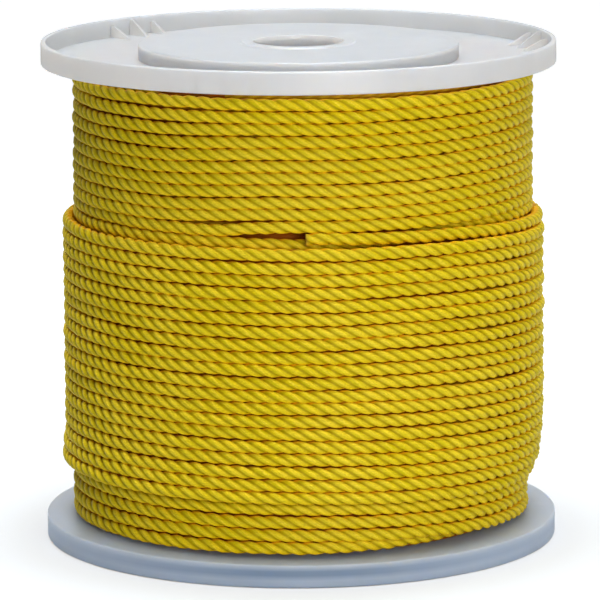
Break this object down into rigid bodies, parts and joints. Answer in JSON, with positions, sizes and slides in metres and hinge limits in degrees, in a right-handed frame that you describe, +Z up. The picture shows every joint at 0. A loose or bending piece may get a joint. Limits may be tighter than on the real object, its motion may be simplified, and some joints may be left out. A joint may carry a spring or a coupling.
{
  "type": "rope spool",
  "caption": "Spool of twisted rope: round moulded flanges with recessed faces and an arbor hole, joined by a barrel, and rope wound on it in layers up to a cut free end.",
  "frame": {"origin": "on the spool's axis, in the plane of the lower rim's edge that it stands on", "axes": "+Z up along the spool's axis; -Y is the front, the side with the rope's free end"},
  "size_m": [0.254, 0.254, 0.2475],
  "materials": {
    "flange_plastic": "natural translucent moulded polypropylene",
    "barrel_plastic": "natural moulded polypropylene",
    "rope": "yellow three-strand twisted polypropylene rope"
  },
  "bodies": {
    "root": {"lower_flange": "flange_plastic", "upper_flange": "flange_plastic", "barrel": "barrel_plastic", "rope_inner_layers": "rope", "rope_lower_turns": "rope", "rope_outer_turns": "rope", "rope_upper_turns": "rope"}
  },
  "joints": []
}
